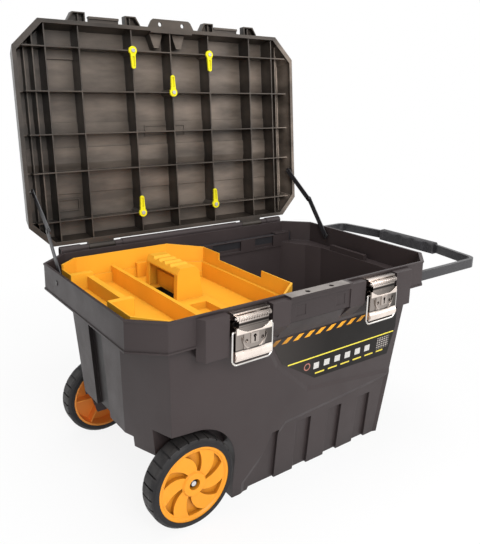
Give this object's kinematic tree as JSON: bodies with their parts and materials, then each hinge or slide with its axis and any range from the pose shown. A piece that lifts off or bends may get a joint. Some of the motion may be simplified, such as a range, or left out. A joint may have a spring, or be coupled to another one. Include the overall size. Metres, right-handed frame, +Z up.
{
  "type": "wheeled tool box",
  "caption": "Plastic tool box on two wheels with a hinged ribbed lid, sliding pull handle, over-centre latches, lift-out tray and turning tool clips in the lid.",
  "frame": {"origin": "on the floor, under the middle of the box's rim", "axes": "+X along the front towards the pull handle, +Y to the hinges at the back, +Z up"},
  "size_m": [0.884, 0.5706, 0.8643],
  "materials": {
    "body_plastic": "moulded polypropylene with a fine grain",
    "lid_plastic": "moulded polypropylene with a fine grain",
    "tray_plastic": "moulded plastic, half gloss",
    "rim_plastic": "moulded plastic, half gloss",
    "tyre_plastic": "hard plastic tread",
    "clip_plastic": "moulded plastic, gloss",
    "latch_steel": "pressed steel, bright plated",
    "bail_wire": "bright wire",
    "steel": "plain steel",
    "painted_bar": "powder coat",
    "grip_rubber": "soft grip",
    "label_print": "printed film"
  },
  "bodies": {
    "tub": {"tub": "body_plastic", "front_label": "label_print", "wheel_axle": "steel", "axle_cap_front": "steel", "axle_cap_rear": "steel", "hinge_pin_left": "steel", "hinge_pin_right": "steel", "stay_body_pin_left": "steel", "stay_body_pin_right": "steel", "latch_base_left": "latch_steel", "latch_base_right": "latch_steel", "latch_pin_left": "steel", "latch_pin_right": "steel", "latch_rivets": "steel"},
    "lid": {"lid": "lid_plastic", "clip_screws": "steel", "stay_lid_stud_left": "steel", "stay_lid_stud_right": "steel"},
    "tray": {"tray": "tray_plastic"},
    "handle": {"handle_bar": "painted_bar", "handle_grip": "grip_rubber", "handle_shoe_front": "body_plastic", "handle_shoe_rear": "body_plastic"},
    "wheel_front": {"wheel_rim_front": "rim_plastic", "wheel_tyre_front": "tyre_plastic"},
    "wheel_rear": {"wheel_rim_rear": "rim_plastic", "wheel_tyre_rear": "tyre_plastic"},
    "stay_lower_left": {"stay_lower_left": "painted_bar", "stay_elbow_rivet_left": "steel"},
    "stay_upper_left": {"stay_upper_left": "painted_bar"},
    "stay_lower_right": {"stay_lower_right": "painted_bar", "stay_elbow_rivet_right": "steel"},
    "stay_upper_right": {"stay_upper_right": "painted_bar"},
    "tool_clip_front_left": {"tool_clip_front_left": "clip_plastic"},
    "tool_clip_front_right": {"tool_clip_front_right": "clip_plastic"},
    "tool_clip_middle": {"tool_clip_middle": "clip_plastic"},
    "tool_clip_rear_left": {"tool_clip_rear_left": "clip_plastic"},
    "tool_clip_rear_right": {"tool_clip_rear_right": "clip_plastic"},
    "latch_lever_left": {"latch_lever_left": "latch_steel"},
    "latch_bail_left": {"latch_bail_left": "bail_wire"},
    "latch_lever_right": {"latch_lever_right": "latch_steel"},
    "latch_bail_right": {"latch_bail_right": "bail_wire"}
  },
  "joints": [
    {"name": "lid_hinge", "type": "hinge", "parent": "tub", "child": "lid", "pos_m": [0, 0.236, 0.3913], "axis": [1, 0, 0], "range_deg": [0, 95.4]},
    {"name": "stay_lower_left_pivot", "type": "hinge", "parent": "tub", "child": "stay_lower_left", "pos_m": [-0.335, 0.105, 0.369], "axis": [1, 0, 0], "range_deg": [0, 103.96]},
    {"name": "stay_elbow_left_pivot", "type": "hinge", "parent": "stay_lower_left", "child": "stay_upper_left", "pos_m": [-0.3335, 0.17, 0.452], "axis": [1, 0, 0], "range_deg": [-148.82, 0]},
    {"name": "stay_lower_right_pivot", "type": "hinge", "parent": "tub", "child": "stay_lower_right", "pos_m": [0.335, 0.105, 0.369], "axis": [1, 0, 0], "range_deg": [0, 103.96]},
    {"name": "stay_elbow_right_pivot", "type": "hinge", "parent": "stay_lower_right", "child": "stay_upper_right", "pos_m": [0.3335, 0.17, 0.452], "axis": [1, 0, 0], "range_deg": [-148.82, 0]},
    {"name": "tool_clip_front_left_turn", "type": "hinge", "parent": "lid", "child": "tool_clip_front_left", "pos_m": [-0.097, 0.2762, 0.79531], "axis": [0, 0.9956, -0.0941], "range_deg": [-90, 90]},
    {"name": "tool_clip_front_right_turn", "type": "hinge", "parent": "lid", "child": "tool_clip_front_right", "pos_m": [0.097, 0.2762, 0.79531], "axis": [0, 0.9956, -0.0941], "range_deg": [-90, 90]},
    {"name": "tool_clip_middle_turn", "type": "hinge", "parent": "lid", "child": "tool_clip_middle", "pos_m": [-0.003, 0.26811, 0.70969], "axis": [0, 0.9956, -0.0941], "range_deg": [-90, 90]},
    {"name": "tool_clip_rear_left_turn", "type": "hinge", "parent": "lid", "child": "tool_clip_rear_left", "pos_m": [-0.097, 0.24354, 0.44985], "axis": [0, 0.9956, -0.0941], "range_deg": [-90, 90]},
    {"name": "tool_clip_rear_right_turn", "type": "hinge", "parent": "lid", "child": "tool_clip_rear_right", "pos_m": [0.097, 0.24354, 0.44985], "axis": [0, 0.9956, -0.0941], "range_deg": [-90, 90]},
    {"name": "latch_lever_left_hinge", "type": "hinge", "parent": "tub", "child": "latch_lever_left", "pos_m": [-0.153, -0.239, 0.3775], "axis": [-1, 0, 0], "range_deg": [0, 120]},
    {"name": "latch_bail_left_pivot", "type": "hinge", "parent": "latch_lever_left", "child": "latch_bail_left", "pos_m": [-0.153, -0.239, 0.356], "axis": [1, 0, 0], "range_deg": [-192, 0]},
    {"name": "latch_lever_right_hinge", "type": "hinge", "parent": "tub", "child": "latch_lever_right", "pos_m": [0.153, -0.239, 0.3775], "axis": [-1, 0, 0], "range_deg": [0, 120]},
    {"name": "latch_bail_right_pivot", "type": "hinge", "parent": "latch_lever_right", "child": "latch_bail_right", "pos_m": [0.153, -0.239, 0.356], "axis": [1, 0, 0], "range_deg": [-192, 0]},
    {"name": "wheel_front_spin", "type": "hinge", "parent": "tub", "child": "wheel_front", "pos_m": [-0.236, -0.18, 0.081], "axis": [0, 1, 0], "continuous": true},
    {"name": "wheel_rear_spin", "type": "hinge", "parent": "tub", "child": "wheel_rear", "pos_m": [-0.236, 0.18, 0.081], "axis": [0, 1, 0], "continuous": true},
    {"name": "handle_slide", "type": "slide", "parent": "tub", "child": "handle", "axis": [1, 0, 0], "range_m": [-0.15, 0]},
    {"name": "tray_lift", "type": "slide", "parent": "tub", "child": "tray", "axis": [0, 0, -1], "range_m": [-0.3, 0]}
  ],
  "couplings": [
    {"joint": "stay_lower_left_pivot", "follows": "lid_hinge", "ratio": 1.0886},
    {"joint": "stay_elbow_left_pivot", "follows": "lid_hinge", "ratio": -1.5589},
    {"joint": "stay_lower_right_pivot", "follows": "lid_hinge", "ratio": 1.0886},
    {"joint": "stay_elbow_right_pivot", "follows": "lid_hinge", "ratio": -1.5589}
  ]
}
